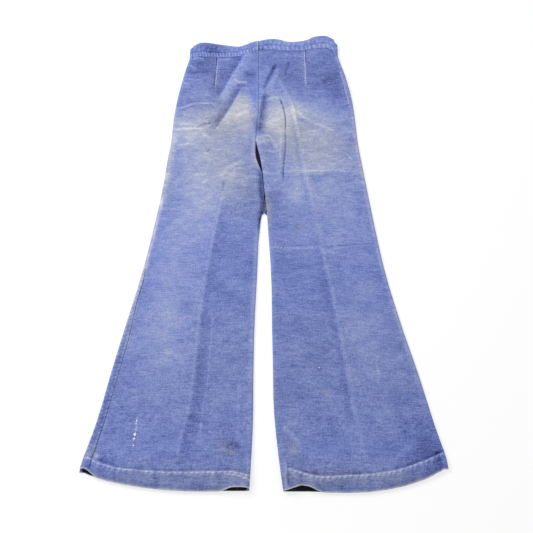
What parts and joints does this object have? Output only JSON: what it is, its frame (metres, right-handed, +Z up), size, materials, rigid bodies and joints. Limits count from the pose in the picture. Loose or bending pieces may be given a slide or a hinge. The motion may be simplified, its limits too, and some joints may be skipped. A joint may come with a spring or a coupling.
{
  "type": "flare jeans",
  "caption": "High-waisted flare jeans in faded denim, laid flat with the back up, with a plain waistband, one dart each side and stitched turn-up hems.",
  "frame": {"origin": "centre of the laid-out garment's box, on the surface that it lies on", "axes": "+Z up out of the back of the garment, +Y from the hems to the waist, +X to the wearer's right"},
  "size_m": [0.6971, 1.098, 0.019],
  "materials": {
    "denim": "faded, worn, matt",
    "waistband_denim": "faded, roped along its seam",
    "hem_denim": "faded, worn along its edge",
    "zip_metal": "dull",
    "hook_steel": "satin"
  },
  "bodies": {
    "root": {"back_panel_left": "denim", "back_panel_right": "denim", "front_panel_left": "denim", "front_panel_right": "denim", "waistband_left": "waistband_denim", "waistband_right": "waistband_denim", "hem_left": "hem_denim", "hem_right": "hem_denim", "outseam_fell_left": "denim", "outseam_fell_right": "denim", "front_zip": "zip_metal", "waist_hook": "hook_steel"}
  },
  "joints": []
}
